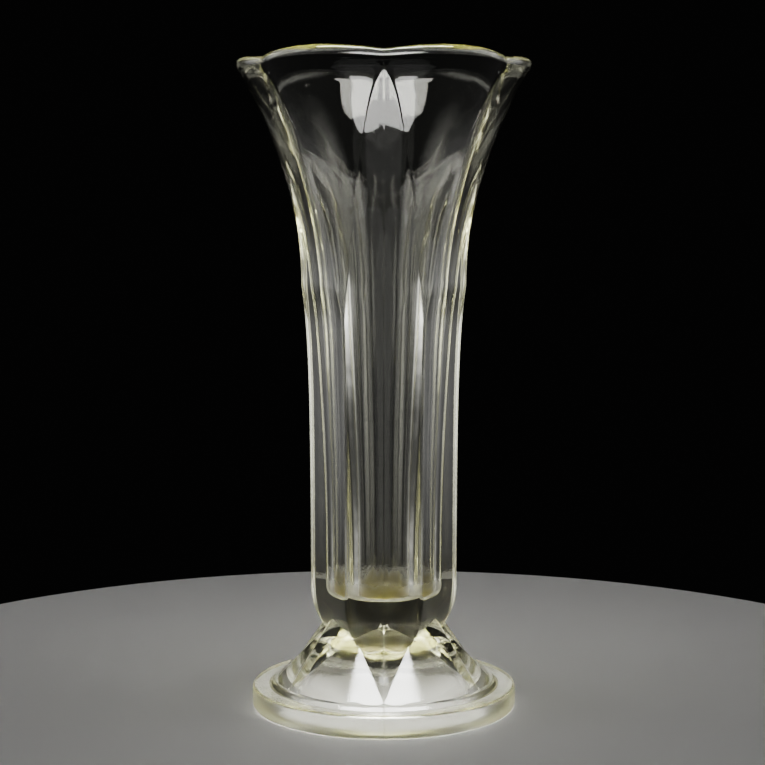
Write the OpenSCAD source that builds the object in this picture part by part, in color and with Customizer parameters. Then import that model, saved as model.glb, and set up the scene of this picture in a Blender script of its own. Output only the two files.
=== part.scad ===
// Pressed glass flower vase: a hexagonal body that flares into a lobed mouth,
// on a round foot with a star of wedges and petals.
// Origin: centre of the foot's underside, +Z up, millimetres.
// The middle of the front flat faces -Y.

/* [Overall] */
// Height to the low points of the rim
height = 200; // [185:1:220]
// Radius of the mouth across the middle of the lobes
mouth_r = 45.8; // [43:0.1:50]
// Radius of the foot plate
foot_r = 41.5; // [40:0.5:50]

/* [Body] */
// Radius of the straight body at its six ridges
body_r = 22.95; // [21.5:0.05:24]
// Radius at the ridges where the flare begins
neck_r = 25.6; // [25:0.1:27]
// Height at which the flare begins
shoulder_z = 132; // [125:1:138]
// Height over which the ridges ease from the neck to the straight body
ease_h = 18.7; // [14:0.1:24]
// Height below which the body curves in to the waist
body_z = 37.8; // [36:0.1:42]

/* [Flats] */
// Height of the pointed top of each flat
tip_z = 195.2; // [188:0.1:196]
// Half the width of a flat, 1 mm below its tip
tip_w = 1.39; // [1.2:0.01:1.45]
// How far a rim notch lies inside the lobes
notch_d = 2.6; // [2:0.1:4]
// Height from which the mouth is lobed
lobe_z = 150; // [140:1:170]
// How deep the tip of a flat is sunk below its own edges
sunk_d = 0.8; // [0.3:0.1:1.2]
// How much higher the lobes stand than the notches at the rim
rim_wave = 1.5; // [0:0.1:3]
// Height of the rounded lip
lip_h = 2.2; // [1.5:0.1:2.5]

/* [Bore] */
// Height of the floor inside
floor_z = 35.1; // [33:0.1:38]
// Radius of the bore at its floor
floor_r = 12; // [10:0.1:13]
// Height where the bore starts to widen
draft_z = 66; // [60:1:75]
// Radius gained per millimetre of height above that
draft = 0.081; // [0.06:0.001:0.09]
// Radius of the bore at the rim
lip_bore_r = 40; // [38:0.1:40.5]
// Rounding in the corner of the floor
floor_round = 2; // [1:0.1:3]

/* [Waist] */
// Radius and height of the waist at the ridges
waist_r = 18.2; // [17.5:0.1:19]
waist_z = 23.9; // [23:0.1:25]
// Height of the waist at the middle of the flats
waist_peak_z = 28.7; // [27:0.1:30]

/* [Foot] */
// Height of the flat ring round the foot
land_z = 6.6; // [5:0.1:7.5]
// Radius and height of the bottom edge of the petals
petal_r = 33.4; // [32:0.1:35]
petal_z = 8.2; // [7.8:0.1:9]
// Height of the outer point of each wedge
wedge_tip_z = 8.8; // [8.4:0.1:9.2]
// Radius and height of the hollow underneath
hollow_r = 30; // [28:0.1:35]
hollow_z = 23; // [10:0.5:24]

/* [Hidden] */
GLASS = [0.86, 0.87, 0.76, 0.45];
SIDES = 6;
HALF = 180 / SIDES;           // from the middle of a flat to a ridge, degrees
FLAT_STEPS = 3;               // columns of points from the middle of a flat to its edge
FLAT_SHARES = [0, 0.45, 0.8, 1]; // where they stand
LOBE_STEPS = 4;               // and from that edge to the ridge
HALF_STEPS = FLAT_STEPS + LOBE_STEPS;
COLUMNS = [0 : 2 * SIDES * HALF_STEPS - 1];
EDGE_LIMITS = [4, 26];        // nearest that the edge column goes to its neighbours, degrees
WAIST_POWER = 2.2;            // how sharply the body turns in above the waist
LEAST_CHORD = 0.2;            // lobes narrower than this are left as a sharp ridge
LOBE_POWER = 1.5;             // how the lobes deepen towards the rim
BORE_EASE = 20;               // height over which the bore starts to widen
SUNK_H = 23;                  // the flats are sunk over this height below their tips
BANK_W = 0.7;                 // width of the slope beside a sunk flat
core_z = (waist_z + waist_peak_z) / 2;
flare_k = (lip_bore_r - straight_r(height - 1)) / pow(height - 1 - shoulder_z, 2);

// Angle from the middle of the nearest flat, 0 to HALF
function off_flat(a) = let (m = (a % (2 * HALF))) min(m, 2 * HALF - m);

// Radius at the ridges and the middle of the lobes
function ridge_r(z) =
    z > shoulder_z ? neck_r + (mouth_r - neck_r) * pow((z - shoulder_z) / (height - shoulder_z), 2)
    : z > body_z ? body_r + (neck_r - body_r) * exp(-(shoulder_z - z) / ease_h)
    : body_r - (body_r - waist_r) * pow((body_z - z) / (body_z - waist_z), WAIST_POWER);

// Half the width of a flat: a curve that opens downwards from its tip until the flats meet
function flat_w(z) = min(ridge_r(z) * sin(HALF), tip_w * sqrt(max(0, tip_z - z)));

// Distance of a flat's edges from the plane through the axis that lies along it
function flat_d(z) = sqrt(pow(ridge_r(z), 2) - pow(flat_w(z), 2))
    - notch_d * pow(max(0, z - lobe_z) / (height - lobe_z), LOBE_POWER);

// How far a flat lies below its own edges
function sunk(z) = z > tip_z ? 0 : sunk_d * pow(max(0, 1 - (tip_z - z) / SUNK_H), 2);

// Angle of each column, with one column along the edge of the flat
function column_a(i, edge) =
    let (
        k = i % (2 * HALF_STEPS),
        j = min(k, 2 * HALF_STEPS - k),
        t = j <= FLAT_STEPS ? edge * FLAT_SHARES[j] : edge + (HALF - edge) * (j - FLAT_STEPS) / LOBE_STEPS,
        sector = 2 * HALF * floor(i / (2 * HALF_STEPS))
    )
    sector + (j == k ? t : 2 * HALF - t);
function limited(edge) = min(max(edge, EDGE_LIMITS[0]), EDGE_LIMITS[1]);
function flat_columns(z) = [for (i = COLUMNS) column_a(i, limited(atan(flat_w(z) / flat_d(z))))];

// Outer radius at height z: a flat, and beyond its edge a round lobe
function outer_r(a, z) =
    let (
        t = off_flat(a),
        d = flat_d(z),
        w = flat_w(z),
        chord = d * sin(HALF) - w * cos(HALF),
        edge = w * sin(HALF) + d * cos(HALF),
        bulge = ridge_r(z) - edge,
        x = d * tan(t)
    )
    x <= w || chord < LEAST_CHORD ? (d - sunk(z) * min(1, max(0, w - x) / BANK_W)) / cos(t)
    : let (
        lobe = (chord * chord + bulge * bulge) / (2 * bulge),
        centre = ridge_r(z) - lobe,
        side = centre * sin(HALF - t)
    )
    centre * cos(HALF - t) + sqrt(lobe * lobe - side * side);

// Radius of the bore: straight, then widening, then flaring towards the lip
function straight_r(z) = let (up = z - draft_z) floor_r + draft * (up + norm([up, BORE_EASE])) / 2;
function bore_r(z) = straight_r(z) + flare_k * pow(max(0, z - shoulder_z), 2);

// Height of the rim, highest in the middle of each lobe
function rim_z(a) = height + rim_wave * cos(3 * (HALF - off_flat(a)));

// A height near the rim, moved up with the wave of the rim
function waved(a, z) = z < shoulder_z ? z
    : z + (rim_z(a) - height) * pow((z - shoulder_z) / (height - lip_h - shoulder_z), 2);

// Height of the zigzag waist line
function waist_line(a) = waist_peak_z + (waist_z - waist_peak_z) * tan(off_flat(a)) / tan(HALF);

function at(r, a, z) = [r * sin(a), -r * cos(a), z];

WAIST_COLUMNS = flat_columns(waist_z);
WAIST_RING = [for (a = WAIST_COLUMNS) at(outer_r(a, waist_line(a)), a, waist_line(a))];

// Foot outside the waist: six roof-shaped wedges standing on a cone of petals
function crease_z(y) = waist_peak_z
    + (wedge_tip_z - waist_peak_z) * (y - outer_r(0, waist_peak_z)) / (petal_r - outer_r(0, waist_peak_z));
function petal_top(r) = waist_z + (petal_z - waist_z) * (r - waist_r) / (petal_r - waist_r);
WEDGE_FALL = (crease_z(waist_r * cos(HALF)) - waist_z) / (waist_r * sin(HALF));
function foot_top(a, r) =
    let (t = off_flat(a)) max(petal_top(r), crease_z(r * cos(t)) - WEDGE_FALL * r * sin(t));

// Columns of the foot, with one along the edge of each wedge
function wedge_columns(s) =
    let (
        half_w = waist_r * sin(HALF) * (1 - s),
        out = waist_r * cos(HALF) * (1 - s) + petal_r * s
    )
    [for (i = COLUMNS) column_a(i, limited(atan(half_w / out)))];

// Closed solid through rings of points, from a first pole to a last pole
module skin(first, rings, last) {
    n = len(rings[0]);
    m = len(rings);
    points = concat([first], [for (ring = rings) each ring], [last]);
    faces = concat(
        [for (i = [0 : n - 1]) [0, 1 + (i + 1) % n, 1 + i]],
        [for (j = [0 : m - 2], i = [0 : n - 1])
            let (a = 1 + j * n + i, b = 1 + j * n + (i + 1) % n)
            each [[a, b, b + n], [a, b + n, a + n]]],
        [for (i = [0 : n - 1]) [m * n + 1, 1 + (m - 1) * n + i, 1 + (m - 1) * n + (i + 1) % n]]
    );
    polyhedron(points, faces, convexity = 10);
}

ROUND_COLUMNS = wedge_columns(0.6);
function round_ring(r, z) = [for (a = ROUND_COLUMNS) at(r, a, z)];

// The vessel itself, above the waist line
module bowl() {
    turn_in = [0.25, 0.5, 0.75];
    outside = [body_z, 46, 66, 86, 98, 108, 116, 124, 132, 140, 148, 156, 164, 172, 179, 185, 190, 194];
    inside = [190, 184, 177, 170, 162, 154, 146, 138, 128, 110, 80, 55];
    lip_z = height - lip_h;
    floor_turn = [0, 30, 60, 90];
    rings = concat(
        [WAIST_RING],
        [for (t = turn_in) [for (a = WAIST_COLUMNS)
            let (z = waist_line(a) + t * (body_z - waist_line(a))) at(outer_r(a, z), a, z)]],
        [for (z0 = outside) [for (a = flat_columns(z0)) let (z = waved(a, z0)) at(outer_r(a, z), a, z)]],
        [for (lift = [0 : 36 : 180]) [for (a = flat_columns(lip_z))
            let (
                z = waved(a, lip_z),
                outer = outer_r(a, z),
                inner = bore_r(z)
            )
            at((outer + inner) / 2 + (outer - inner) / 2 * cos(lift), a, z + lip_h * sin(lift))]],
        [for (z0 = inside) [for (a = flat_columns(z0)) let (z = waved(a, z0)) at(bore_r(z), a, z)]],
        [for (turn = floor_turn)
            let (z = floor_z + floor_round * (1 - sin(turn)))
            round_ring(bore_r(z) - floor_round * (1 - cos(turn)), z)]
    );
    color(GLASS) skin([0, 0, core_z], rings, [0, 0, floor_z]);
}

// The foot, below the waist line
module foot() {
    slope = [0.12, 0.28, 0.46, 0.64, 0.82, 1];
    edge = 0.8;                                      // rounding of the plate's edges
    bevel = edge * 0.3;                              // middle of that rounding
    step = [[1.2, petal_z - 0.3], [2.6, land_z + 0.2], [3, land_z]]; // from the petals down to the plate
    hollow = [0, 14, 28, 42, 56, 70, 82];
    rings = concat(
        [WAIST_RING],
        [for (s = slope) [for (i = COLUMNS)
            let (
                a = wedge_columns(s)[i],
                start = norm([WAIST_RING[i].x, WAIST_RING[i].y]),
                r = start + s * (petal_r - start)
            )
            at(r, a, foot_top(a, r))]],
        [
            for (s = step) round_ring(petal_r + s[0], s[1]),
            round_ring(foot_r - edge, land_z),
            round_ring(foot_r - bevel, land_z - bevel),
            round_ring(foot_r, land_z - edge),
            round_ring(foot_r, edge),
            round_ring(foot_r - bevel, bevel),
            round_ring(foot_r - edge, 0)
        ],
        [for (h = hollow) round_ring(hollow_r * cos(h), hollow_z * sin(h))]
    );
    color(GLASS) skin([0, 0, core_z], rings, [0, 0, hollow_z]);
}

bowl();
foot();
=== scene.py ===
import math

import bpy
import numpy as np
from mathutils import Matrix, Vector


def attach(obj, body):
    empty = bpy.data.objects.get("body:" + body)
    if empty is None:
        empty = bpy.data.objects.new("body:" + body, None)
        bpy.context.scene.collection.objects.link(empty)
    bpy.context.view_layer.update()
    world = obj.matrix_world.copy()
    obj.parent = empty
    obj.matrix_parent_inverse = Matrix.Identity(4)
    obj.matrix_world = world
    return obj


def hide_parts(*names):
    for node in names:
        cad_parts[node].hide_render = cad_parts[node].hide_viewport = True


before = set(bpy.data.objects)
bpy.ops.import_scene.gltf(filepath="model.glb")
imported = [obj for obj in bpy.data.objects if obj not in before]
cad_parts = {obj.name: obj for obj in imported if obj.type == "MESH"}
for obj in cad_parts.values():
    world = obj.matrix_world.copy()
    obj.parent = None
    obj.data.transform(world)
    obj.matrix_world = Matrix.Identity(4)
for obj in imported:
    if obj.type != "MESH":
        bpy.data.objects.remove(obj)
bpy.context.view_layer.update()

MM = 0.001  # the shape below is worked out in millimetres

# ---------------------------------------------------------------- camera

EYE_BACK = 510.3  # from the vase's axis, mm
EYE_UP = 144.7
EYE_ASIDE = -0.4
EYE_DIP = 4.82  # degrees below level
LENS = 77.0  # on a 36 mm sensor


def set_camera():
    eye = bpy.data.objects.new("studio_camera", bpy.data.cameras.new("studio_camera"))
    eye.data.lens = LENS
    eye.data.sensor_width = 36
    eye.location = (EYE_ASIDE * MM, -EYE_BACK * MM, EYE_UP * MM)
    eye.rotation_euler = (math.radians(90 - EYE_DIP), 0, 0)
    bpy.context.scene.collection.objects.link(eye)
    bpy.context.scene.camera = eye


# ---------------------------------------------------------------- sizes of the vase, mm

SIDES = 6
HALF = math.pi / SIDES  # from the middle of a flat to a ridge
SIN, COS = math.sin(HALF), math.cos(HALF)

RIM_Z = 200.0  # the notches of the rim; the lobes stand higher
RIM_WAVE = 1.5
MOUTH_R = 45.8
NECK_R = 25.6
SHOULDER_Z = 132.0
BODY_R = 22.95
BODY_Z = 37.8
EASE_H = 18.7
WAIST_R, WAIST_Z = 18.2, 23.9
WAIST_PEAK_Z = 28.7
WAIST_POWER = 2.2

TIP_Z = 195.2  # the pointed top of each flat
TIP_W = 1.39  # half the width of a flat, 1 mm under its tip
NOTCH_D = 2.6  # how far a rim notch lies inside the lobes
LOBE_Z = 150.0  # the mouth is lobed from here up
LOBE_POWER = 1.5
SUNK_D, SUNK_H = 0.8, 23.0  # the top of each flat is sunk between its edges
BANK = 0.75  # width of the slope beside a sunk flat, as a share of its depth
RIDGE_B = 0.45  # half the width of the rounding along a ridge
NOTCH_B = 0.3  # half the width of the groove between two lobes above a tip
EDGE_SOFT = 0.4  # rounding along the edges of the flats

FLOOR_Z, FLOOR_R = 35.1, 12.0
FLOOR_ROUND = 2.0
DRAFT_Z, DRAFT = 66.0, 0.081
BORE_EASE = 20.0
LIP_BORE_R = 40.0
LIP_START_Z = RIM_Z - 3.1

LAND_Z = 6.6
FOOT_R = 41.5
PETAL_R, PETAL_Z = 33.4, 8.2
WEDGE_TIP_Z = 8.8
HOLLOW_R, HOLLOW_Z = 30.0, 23.0

SEAM_H, SEAM_W = 0.09, 0.3  # the raised lines that the joints of the mould leave

# columns of points, from the middle of a flat to a ridge
FLAT_STEPS, EDGE_STEPS, LOBE_STEPS = 7, 5, 10
HALF_STEPS = FLAT_STEPS + EDGE_STEPS + LOBE_STEPS
COLUMNS = 2 * SIDES * HALF_STEPS
LIP_STEPS = 12


# ---------------------------------------------------------------- curves of the vase


def ridge_r(z):
    """Radius at the ridges and the middle of the lobes."""
    flare = NECK_R + (MOUTH_R - NECK_R) * (np.maximum(z - SHOULDER_Z, 0) / (RIM_Z - SHOULDER_Z)) ** 2
    ease = BODY_R + (NECK_R - BODY_R) * np.exp(-np.maximum(SHOULDER_Z - z, 0) / EASE_H)
    turn = BODY_R - (BODY_R - WAIST_R) * (np.maximum(BODY_Z - z, 0) / (BODY_Z - WAIST_Z)) ** WAIST_POWER
    return np.where(z > SHOULDER_Z, flare, np.where(z > BODY_Z, ease, turn))


def flat_w(z):
    """Half the width of a flat, down to where the flats meet at the ridges."""
    lancet = np.maximum(TIP_W * np.sqrt(np.maximum(TIP_Z - z, 0)), NOTCH_B)
    return np.minimum(lancet, ridge_r(z) * SIN - RIDGE_B)


def flat_d(z):
    """Distance of a flat's edges from the plane through the axis that lies along it."""
    lobed = NOTCH_D * (np.maximum(z - LOBE_Z, 0) / (RIM_Z - LOBE_Z)) ** LOBE_POWER
    return np.sqrt(ridge_r(z) ** 2 - flat_w(z) ** 2) - lobed


def sunk(z):
    """How far a flat lies below its own edges."""
    up = np.clip(1 - (TIP_Z - z) / SUNK_H, 0, 1)
    end = 1 - np.exp(-np.maximum(TIP_Z - z, 0) / 0.25)
    return SUNK_D * up**2 * end


def straight_r(z):
    return FLOOR_R + DRAFT * (z - DRAFT_Z + np.hypot(z - DRAFT_Z, BORE_EASE)) / 2


FLARE_K = (LIP_BORE_R - straight_r(RIM_Z - 1)) / (RIM_Z - 1 - SHOULDER_Z) ** 2


def bore_r(z):
    """Radius of the bore: straight, then widening, then flaring towards the lip."""
    return straight_r(z) + FLARE_K * np.maximum(z - SHOULDER_Z, 0) ** 2


def bezier(p0, p1, p2, p3, t):
    return (1 - t) ** 3 * p0 + 3 * t * (1 - t) ** 2 * p1 + 3 * t**2 * (1 - t) * p2 + t**3 * p3


def eased(a, b, count, power=1.0):
    """Numbers from a towards b, closer together near a when power is over 1; b is left out."""
    return [a + (b - a) * (i / count) ** power for i in range(count)]


# ---------------------------------------------------------------- rings of points round the vase


def column_steps():
    """For every column: its flat, its side of the flat's middle, and its step from there."""
    steps = np.arange(COLUMNS + 1)
    flat, k = np.divmod(steps, 2 * HALF_STEPS)
    side = np.where(k <= HALF_STEPS, 1, -1)
    step = np.where(k <= HALF_STEPS, k, 2 * HALF_STEPS - k)
    return np.where(side < 0, flat + 1, flat), side, step


FLAT, SIDE, STEP = column_steps()


def flat_x(w):
    """Distances of the columns across half a flat, close together at the seam."""
    near = np.minimum(0.4 * SEAM_W, 0.3 * w)
    far = np.minimum(SEAM_W, 0.6 * w)
    rest = np.clip((STEP - 2) / (FLAT_STEPS - 2), 0, 1)
    return np.select([STEP == 0, STEP == 1, STEP == 2], [0 * w, near, far], far + (w - far) * rest)


def outer_xy(z):
    """Across and outward from the middle of its flat, for each column at its own height."""
    d, w, r, depth = flat_d(z), flat_w(z), ridge_r(z), sunk(z)
    chord, bulge = d * SIN - w * COS, r - w * SIN - d * COS
    lobe = (chord**2 + bulge**2) / (2 * bulge)
    soft = np.minimum(EDGE_SOFT, np.minimum(0.35 * w, 0.55 * chord))
    start = 2 * np.arctan2(bulge, chord) - soft / lobe

    def on_lobe(turn):
        out, over = r - lobe + lobe * np.cos(turn), lobe * np.sin(turn)
        return out * SIN - over * COS, out * COS + over * SIN

    lobe_x, lobe_y = on_lobe(start * (1 - np.clip((STEP - FLAT_STEPS - EDGE_STEPS) / LOBE_STEPS, 0, 1)))
    first_x, first_y = on_lobe(start)
    flat_end, flat_y = w - soft - np.minimum(BANK * depth, 0.4 * w), d - depth
    reach = 0.38 * np.hypot(first_x - flat_end, first_y - flat_y)
    lead_x = first_x - reach * (np.sin(start) * SIN + np.cos(start) * COS)
    lead_y = first_y + reach * (np.cos(start) * SIN - np.sin(start) * COS)
    t = np.clip((STEP - FLAT_STEPS) / EDGE_STEPS, 0, 1)
    bend_x = bezier(flat_end, flat_end + reach, lead_x, first_x, t)
    bend_y = bezier(flat_y, flat_y, lead_y, first_y, t)
    on_flat, on_edge = STEP <= FLAT_STEPS, STEP < FLAT_STEPS + EDGE_STEPS
    x = np.select([on_flat, on_edge], [flat_x(flat_end), bend_x], lobe_x)
    y = np.select([on_flat, on_edge], [flat_y, bend_y], lobe_y)
    return x, y


def seam(y):
    """Raises the three mould seams, which run down every second flat."""
    return y + SEAM_H * np.where(FLAT % 2 == 0, np.select([STEP == 0, STEP == 1], [1, 0.5], 0), 0)


def placed(x, y, z):
    """Points of one ring, turned to their flats."""
    turn = FLAT * 2 * HALF
    east = SIDE * x * np.cos(turn) + y * np.sin(turn)
    north = SIDE * x * np.sin(turn) - y * np.cos(turn)
    return np.stack([east, north, z + 0 * x], axis=1)


def round_ring(r, z, angle):
    return placed(r * np.sin(angle), r * np.cos(angle), z)


def level(z):
    return np.full(COLUMNS + 1, z)


def column_angle(z):
    """Angle of each column from the middle of its flat."""
    return np.arctan2(*outer_xy(level(z)))


RIM_ANGLE = column_angle(RIM_Z - 1.0)


def waved(z):
    """Heights near the rim, lifted with its wave."""
    lift = RIM_WAVE * np.cos(3 * (HALF - RIM_ANGLE))
    return z + lift * (max(z - SHOULDER_Z, 0) / (RIM_Z - SHOULDER_Z)) ** 2


# ---------------------------------------------------------------- the zigzag waist


def waist_heights():
    """The waist line stands highest in the middle of a flat and lowest at a ridge."""
    across = outer_xy(level(WAIST_Z + 2.0))[0] / (WAIST_R * SIN * 1.06)
    share = np.where(STEP == HALF_STEPS, 1, np.clip(across, 0, 1))
    return WAIST_PEAK_Z + (WAIST_Z - WAIST_PEAK_Z) * share


WAIST_LINE_Z = waist_heights()
WAIST_X, WAIST_Y = outer_xy(WAIST_LINE_Z)


# ---------------------------------------------------------------- body, lip and bore


def body_rings():
    """From the waist line up to the lip."""
    rings = []
    for t in eased(0, 1, 14):
        z = WAIST_LINE_Z + t * (BODY_Z - WAIST_LINE_Z)
        x, y = outer_xy(z)
        rings.append(placed(x, seam(y), z))
    heights = eased(BODY_Z, SHOULDER_Z, 38) + eased(SHOULDER_Z, 180, 28)
    heights += [TIP_Z - (TIP_Z - 180) * (1 - i / 26) ** 2 for i in range(26)]
    heights += eased(TIP_Z, LIP_START_Z, 4)
    for height in heights:
        z = waved(height)
        x, y = outer_xy(z)
        rings.append(placed(x, seam(y), z))
    return rings


def lip_rings():
    """The rounded lip, from the outer wall over the top to the bore."""
    z0, top_z = waved(LIP_START_Z), waved(RIM_Z)
    x0, y0 = outer_xy(z0)
    outer, inner, angle = np.hypot(x0, y0), bore_r(z0), np.arctan2(x0, y0)
    slope = (np.hypot(*outer_xy(z0 + 0.1)) - outer) / 0.1
    inner_slope = (bore_r(z0 + 0.1) - inner) / 0.1
    top = (outer + inner) / 2 + 0.275 * (slope + inner_slope) * (top_z - z0)
    rise, wide = 0.52 * (top_z - z0), 0.42 * (outer - inner)
    rings = []
    for t in eased(0, 1, LIP_STEPS):
        r = bezier(outer, outer + slope * rise, top + wide, top, t)
        y = seam(r * np.cos(angle))
        rings.append(placed(r * np.sin(angle), y, bezier(z0, z0 + rise, top_z, top_z, t)))
    for t in eased(0, 1, LIP_STEPS):
        r = bezier(top, top - wide, inner + inner_slope * rise, inner, t)
        rings.append(round_ring(r, bezier(top_z, top_z, z0 + rise, z0, t), angle))
    return rings


def bore_rings():
    """Down the bore and across its floor."""
    rings = []
    for height in eased(LIP_START_Z, SHOULDER_Z, 40) + eased(SHOULDER_Z, FLOOR_Z + FLOOR_ROUND, 34):
        z = waved(height)
        rings.append(round_ring(bore_r(z), z, RIM_ANGLE))
    for turn in np.linspace(0, math.pi / 2, 9):
        z = FLOOR_Z + FLOOR_ROUND * (1 - math.sin(turn))
        rings.append(round_ring(bore_r(z) - FLOOR_ROUND * (1 - math.cos(turn)), z, RIM_ANGLE))
    for share in (0.75, 0.5, 0.25, 0):
        rings.append(round_ring(share * (FLOOR_R - FLOOR_ROUND), FLOOR_Z, RIM_ANGLE))
    return rings


# ---------------------------------------------------------------- foot


def petal_ring(s, miss):
    """Wedges and petals at a share s of the way out; miss is what ring 0 lacks of the waist line."""
    edge_of_flat = STEP == FLAT_STEPS
    edge_x, edge_y = float(WAIST_X[edge_of_flat].max()), float(WAIST_Y[edge_of_flat].mean())
    edge_z = float(WAIST_LINE_Z[edge_of_flat].mean())
    peak_y = float(flat_d(np.array(WAIST_PEAK_Z)))
    low_r = float(np.hypot(WAIST_X, WAIST_Y)[STEP == HALF_STEPS][0])
    crease_y, crease_z = peak_y + s * (PETAL_R - peak_y), WAIST_PEAK_Z + s * (WEDGE_TIP_Z - WAIST_PEAK_Z)
    side_x = max(edge_x * (1 - s), NOTCH_B)
    side_y, side_z = edge_y + s * (PETAL_R - edge_y), edge_z + s * (WEDGE_TIP_Z - 0.25 - edge_z)
    x = flat_x(side_x + 0.0 * STEP)
    part = x / side_x
    wedge = (x, crease_y + part * (side_y - crease_y), crease_z + part * (side_z - crease_z))
    along = np.clip((STEP - FLAT_STEPS) / (HALF_STEPS - FLAT_STEPS), 0, 1)
    ease = 1 - (1 - along) ** 2
    side_a, side_r = math.atan2(side_x, side_y), math.hypot(side_x, side_y)
    a = side_a + (HALF - side_a) * along
    r = side_r + (low_r + s * (PETAL_R - low_r) - side_r) * ease
    petal = (r * np.sin(a), r * np.cos(a), side_z + (WAIST_Z + s * (PETAL_Z - WAIST_Z) - side_z) * ease)
    fade = (1 - s) ** 6
    return [np.where(STEP <= FLAT_STEPS, u, v) + fade * m for u, v, m in zip(wedge, petal, miss)]


def rounded(corners, steps=6):
    """A profile of (radius, height, rounding) corners, each rounded with a curve."""
    points = [corners[0][:2]]
    for before, corner, after in zip(corners, corners[1:], corners[2:]):
        c = np.array(corner[:2])
        a, b = np.array(before[:2]) - c, np.array(after[:2]) - c
        p, q = c + a / np.linalg.norm(a) * corner[2], c + b / np.linalg.norm(b) * corner[2]
        for t in np.linspace(0, 1, steps + 1):
            points.append(tuple((1 - t) ** 2 * p + 2 * t * (1 - t) * c + t**2 * q))
    return points + [corners[-1][:2]]


def foot_profile():
    """From the petals over the ledge, the plate and its side to the hollow underneath."""
    plate = rounded(
        [
            (PETAL_R + 0.25, PETAL_Z - 0.05, 0),
            (PETAL_R + 1.5, PETAL_Z - 0.15, 0.7),
            (PETAL_R + 2.6, LAND_Z + 0.05, 0.5),
            (FOOT_R, LAND_Z, 1.1),
            (FOOT_R, 0, 0.9),
            (HOLLOW_R, 0, 0.8),
            (HOLLOW_R * math.cos(0.16), HOLLOW_Z * math.sin(0.16), 0),
        ]
    )
    dome = [(HOLLOW_R * math.cos(h), HOLLOW_Z * math.sin(h)) for h in np.linspace(0.2, math.pi / 2, 26)]
    return plate + dome


def foot_rings():
    """From the waist line out over the foot and under it."""
    first = petal_ring(0, (0, 0, 0))
    miss = [WAIST_X - first[0], WAIST_Y - first[1], WAIST_LINE_Z - first[2]]
    rings = []
    for s in eased(0, 1, 34)[1:] + [1]:
        x, y, z = petal_ring(s, miss)
        rings.append(placed(x, seam(y), z))
    angle = np.arctan2(x, y)
    for r, z in foot_profile():
        outside = z > 0.01 and r > HOLLOW_R + 1
        y = r * np.cos(angle)
        rings.append(placed(r * np.sin(angle), seam(y) if outside else y, z))
    return rings


# ---------------------------------------------------------------- the pressing


def deselect_all():
    for other in bpy.context.selected_objects:
        other.select_set(False)


def pressed(name, rings):
    """A sheet of faces is laid over the mould's surface, and its seam and its poles are closed."""
    deselect_all()
    rows = np.array(rings) * MM
    bpy.ops.mesh.primitive_grid_add(x_subdivisions=COLUMNS, y_subdivisions=len(rows) - 1, size=2)
    piece = bpy.context.object
    piece.name = name
    sheet = np.empty(len(piece.data.vertices) * 3)
    piece.data.vertices.foreach_get("co", sheet)
    sheet = sheet.reshape(-1, 3)
    column = np.rint((sheet[:, 0] + 1) / 2 * COLUMNS).astype(int)
    row = np.rint((sheet[:, 1] + 1) / 2 * (len(rows) - 1)).astype(int)
    piece.data.vertices.foreach_set("co", rows[row, column].ravel())
    piece.data.update()
    bpy.ops.object.mode_set(mode="EDIT")
    bpy.ops.mesh.select_all(action="SELECT")
    bpy.ops.mesh.remove_doubles(threshold=1e-7)
    bpy.ops.mesh.normals_make_consistent(inside=False)
    bpy.ops.object.mode_set(mode="OBJECT")
    bpy.ops.object.shade_smooth_by_angle(angle=math.radians(32))
    return piece


def make_vase():
    rings = list(reversed(foot_rings())) + body_rings() + lip_rings() + bore_rings()
    return pressed("pressed_glass_vase", rings)


# ---------------------------------------------------------------- glass

STRAW = (0.91, 0.91, 0.60, 1)
STRAW_DENSITY = 14.0  # how strongly the straw tint grows with thickness, per metre
CLEAR = (0.99, 0.99, 0.97, 1)
# olive tint laid over the floor and the lowest wall of the bore, up to about 43.5 mm above the table
OLIVE_BAND = (0.42, 0.375, 0.12, 1)
OLIVE_BAND_TOP, OLIVE_BAND_FADE = 0.0435, 0.006  # metres, as are the sizes below
OLIVE_BAND_RAGGED, OLIVE_BAND_ROUGH = 0.006, 0.5
WALL_R = 0.0145  # what lies nearer to the axis, above the floor of the bore, is the bore
FILM_TOP, FILM_FULL, FILM_ROUGH = 0.110, 0.040, 0.10
PLATE_R, PLATE_SIDE_R, PLATE_TOP, PLATE_ROUGH = 0.0400, 0.0414, 0.0075, 0.30
WAVE_DEPTH = 0.00008
GRAIN_TOP, GRAIN_FULL = 0.028, 0.012
GRAIN_FINE, GRAIN_COARSE = 0.000004, 0.000030


def add(tree, kind, values=(), **settings):
    """A node with its settings and the starting values of its inputs."""
    node = tree.nodes.new(kind)
    for name, value in settings.items():
        setattr(node, name, value)
    for key, value in values:
        node.inputs[key].default_value = value
    return node


def maths(tree, operation, first, second):
    """One sum; each side is an output to link or a number."""
    node = add(tree, "ShaderNodeMath", operation=operation)
    for socket, value in zip(node.inputs, (first, second)):
        if isinstance(value, (int, float)):
            socket.default_value = value
        else:
            tree.links.new(value, socket)
    return node.outputs[0]


def ramp(tree, value, low, high, low_to=0.0, high_to=1.0):
    """Takes value from low..high to low_to..high_to, smoothly at both ends."""
    node = add(tree, "ShaderNodeMapRange", interpolation_type="SMOOTHSTEP", clamp=True)
    tree.links.new(value, node.inputs["Value"])
    for name, number in (("From Min", low), ("From Max", high), ("To Min", low_to), ("To Max", high_to)):
        node.inputs[name].default_value = number
    return node.outputs["Result"]


def noise_on(tree, place, scale, detail, stretch=(1, 1, 1)):
    mapping = add(tree, "ShaderNodeMapping", [("Scale", stretch)])
    texture = add(tree, "ShaderNodeTexNoise", [("Scale", scale), ("Detail", detail)])
    tree.links.new(place, mapping.inputs["Vector"])
    tree.links.new(mapping.outputs["Vector"], texture.inputs["Vector"])
    return texture.outputs["Fac"]


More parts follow.
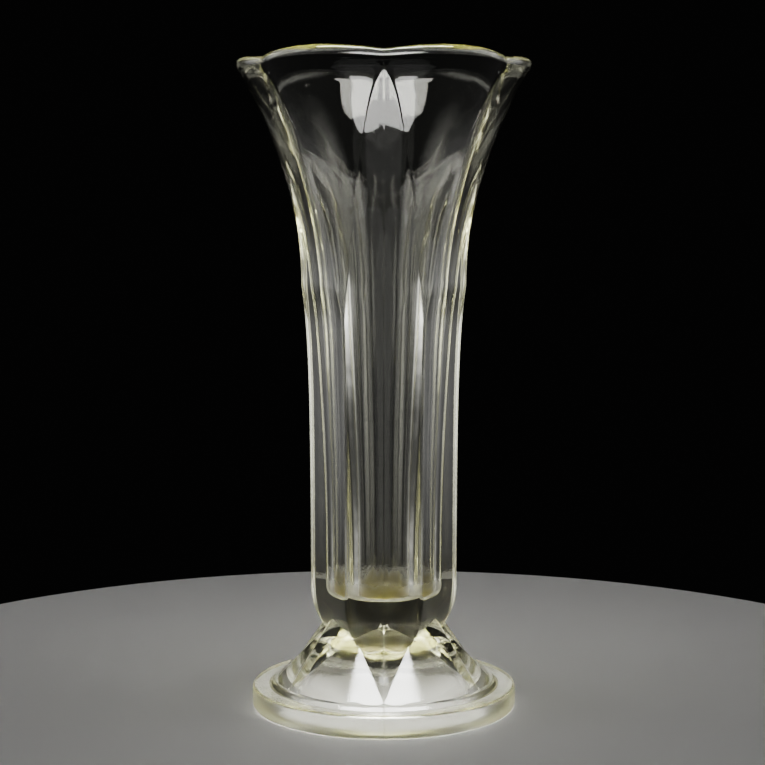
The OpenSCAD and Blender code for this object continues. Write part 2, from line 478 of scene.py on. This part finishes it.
def height_and_radius(tree, place):
    """Height above the table and distance from the vase's axis."""
    apart = add(tree, "ShaderNodeSeparateXYZ")
    tree.links.new(place, apart.inputs[0])
    flattened = add(tree, "ShaderNodeVectorMath", operation="MULTIPLY")
    flattened.inputs[1].default_value = (1, 1, 0)
    tree.links.new(place, flattened.inputs[0])
    length = add(tree, "ShaderNodeVectorMath", operation="LENGTH")
    tree.links.new(flattened.outputs["Vector"], length.inputs[0])
    return apart.outputs["Z"], length.outputs["Value"]


def bore_mask(tree, height, radius):
    inside = maths(tree, "LESS_THAN", radius, WALL_R)
    above_floor = maths(tree, "GREATER_THAN", height, (FLOOR_Z - 1) * MM)
    return maths(tree, "MULTIPLY", inside, above_floor)


def olive_band_low_in_bore(tree, place, height, in_bore):
    """Share of the olive tint and roughness, with a ragged upper edge, over the bottom of the bore."""
    patchy = maths(tree, "SUBTRACT", noise_on(tree, place, 220, 4), 0.5)
    edge_z = maths(tree, "ADD", height, maths(tree, "MULTIPLY", patchy, OLIVE_BAND_RAGGED))
    low = ramp(tree, edge_z, OLIVE_BAND_TOP, OLIVE_BAND_TOP - OLIVE_BAND_FADE)
    return maths(tree, "MULTIPLY", low, in_bore)


def water_film(tree, place, height, in_bore):
    """Roughness of the streaks that water left down the lower bore."""
    streaks = noise_on(tree, place, 260, 3, stretch=(1, 1, 0.12))
    lower = ramp(tree, height, FILM_TOP, FILM_FULL)
    film = maths(tree, "MULTIPLY", lower, ramp(tree, streaks, 0.45, 0.75, 0, FILM_ROUGH))
    return maths(tree, "MULTIPLY", film, in_bore)


def dull_plate_side(tree, height, radius):
    """Roughness of the slightly dull side of the foot plate."""
    dull = ramp(tree, radius, PLATE_R, PLATE_SIDE_R, 0, PLATE_ROUGH)
    return maths(tree, "MULTIPLY", dull, maths(tree, "LESS_THAN", height, PLATE_TOP))


def uneven_skin(tree, place, height):
    """Cooling waves everywhere, and the fine grain of the mould on the foot."""
    waves = maths(tree, "MULTIPLY", noise_on(tree, place, 70, 2), WAVE_DEPTH)
    grain_at = ramp(tree, height, GRAIN_TOP, GRAIN_FULL, GRAIN_FINE, GRAIN_COARSE)
    grain = maths(tree, "MULTIPLY", noise_on(tree, place, 1400, 3), grain_at)
    bump = add(tree, "ShaderNodeBump", [("Strength", 1.0), ("Distance", 1.0)])
    tree.links.new(maths(tree, "ADD", waves, grain), bump.inputs["Height"])
    return bump.outputs["Normal"]


def glass_material(name):
    material = bpy.data.materials.new(name)
    material.use_nodes = True
    tree = material.node_tree
    surface = tree.nodes["Principled BSDF"]
    surface.inputs["IOR"].default_value = 1.52
    surface.inputs["Transmission Weight"].default_value = 1.0
    tint = add(tree, "ShaderNodeVolumeAbsorption", [("Color", STRAW), ("Density", STRAW_DENSITY)])
    tree.links.new(tint.outputs["Volume"], tree.nodes["Material Output"].inputs["Volume"])

    place = add(tree, "ShaderNodeTexCoord").outputs["Object"]
    height, radius = height_and_radius(tree, place)
    in_bore = bore_mask(tree, height, radius)
    olive_share = olive_band_low_in_bore(tree, place, height, in_bore)
    colour = add(tree, "ShaderNodeMix", [(6, CLEAR), (7, OLIVE_BAND)], data_type="RGBA")
    tree.links.new(olive_share, colour.inputs["Factor"])
    tree.links.new(colour.outputs[2], surface.inputs["Base Color"])

    film, dull = water_film(tree, place, height, in_bore), dull_plate_side(tree, height, radius)
    # the olive band at the bottom of the bore is also rougher
    olive_rough = maths(tree, "MULTIPLY", olive_share, OLIVE_BAND_ROUGH)
    rough = maths(tree, "ADD", olive_rough, maths(tree, "ADD", film, dull))
    tree.links.new(rough, surface.inputs["Roughness"])
    tree.links.new(uneven_skin(tree, place, height), surface.inputs["Normal"])
    return material


# ---------------------------------------------------------------- studio


PALE, FLOOR_ROUGH = (0.60, 0.60, 0.59), 0.6
FLOOR_SPREAD, FLOOR_GAP = 0.21, 0.0002  # its radius, and how far below the foot it lies, m
SIDE_GLOW, ROOM_DIM, ROOM_DARK = 1.8, 0.06, 0.004


def plain_material(name, colour, roughness):
    material = bpy.data.materials.new(name)
    material.use_nodes = True
    surface = material.node_tree.nodes["Principled BSDF"]
    surface.inputs["Base Color"].default_value = (*colour, 1)
    surface.inputs["Roughness"].default_value = roughness
    return material


def studio_floor():
    deselect_all()
    below = (0, 0, -FLOOR_GAP)
    bpy.ops.mesh.primitive_circle_add(vertices=96, radius=FLOOR_SPREAD, fill_type="NGON", location=below)
    floor = bpy.context.object
    floor.name = "studio_floor"
    floor.data.materials.append(plain_material("pale_floor", PALE, FLOOR_ROUGH))


def softbox(name, place, aim, size, power, on_floor=False):
    lamp = bpy.data.lights.new(name, "AREA")
    lamp.shape = "ELLIPSE"
    lamp.size, lamp.size_y = size
    lamp.energy = power
    box = bpy.data.objects.new(name, lamp)
    box.location = place
    box.rotation_euler = (Vector(aim) - Vector(place)).to_track_quat("-Z", "Y").to_euler()
    box.visible_diffuse = on_floor
    bpy.context.scene.collection.objects.link(box)


def pale_sides():
    """The room glows softly on the left and right above the table, is dim in front and dark behind."""
    world = bpy.data.worlds.new("studio")
    bpy.context.scene.world = world
    world.use_nodes = True
    tree = world.node_tree
    apart = add(tree, "ShaderNodeSeparateXYZ")
    tree.links.new(add(tree, "ShaderNodeTexCoord").outputs["Generated"], apart.inputs[0])
    aside = ramp(tree, maths(tree, "ABSOLUTE", apart.outputs["X"], 0), 0.74, 0.95, 0, SIDE_GLOW)
    above = ramp(tree, apart.outputs["Z"], -0.26, -0.08)
    dim = ramp(tree, apart.outputs["Y"], 0.60, 0.90, ROOM_DIM, ROOM_DARK)
    glow = maths(tree, "ADD", maths(tree, "MULTIPLY", aside, above), dim)
    tree.links.new(glow, tree.nodes["Background"].inputs["Color"])


def studio_light():
    softbox("key_softbox", (0, -0.31, 0.85), (0, -0.31, 0), (1.04, 0.40), 38)
    softbox("front_fill", (0, -1.2, 0.6), (0, 0, 0.12), (2.6, 2.6), 6)
    softbox("ceiling_fill", (0, -0.1, 1.0), (0, 0, 0), (0.8, 0.8), 0.15, on_floor=True)
    pale_sides()
    many_bounces()
    bpy.context.scene.view_settings.look = "AgX - Medium High Contrast"


def many_bounces():
    """Light goes to and fro in thick glass many times."""
    cycles = bpy.context.scene.cycles
    cycles.max_bounces = 40
    cycles.glossy_bounces = 24
    cycles.transmission_bounces = 32
    cycles.transparent_max_bounces = 16


set_camera()
vase = make_vase()
vase.data.materials.append(glass_material("pressed_glass"))
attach(vase, "root")
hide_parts("bowl", "foot")
studio_floor()
studio_light()
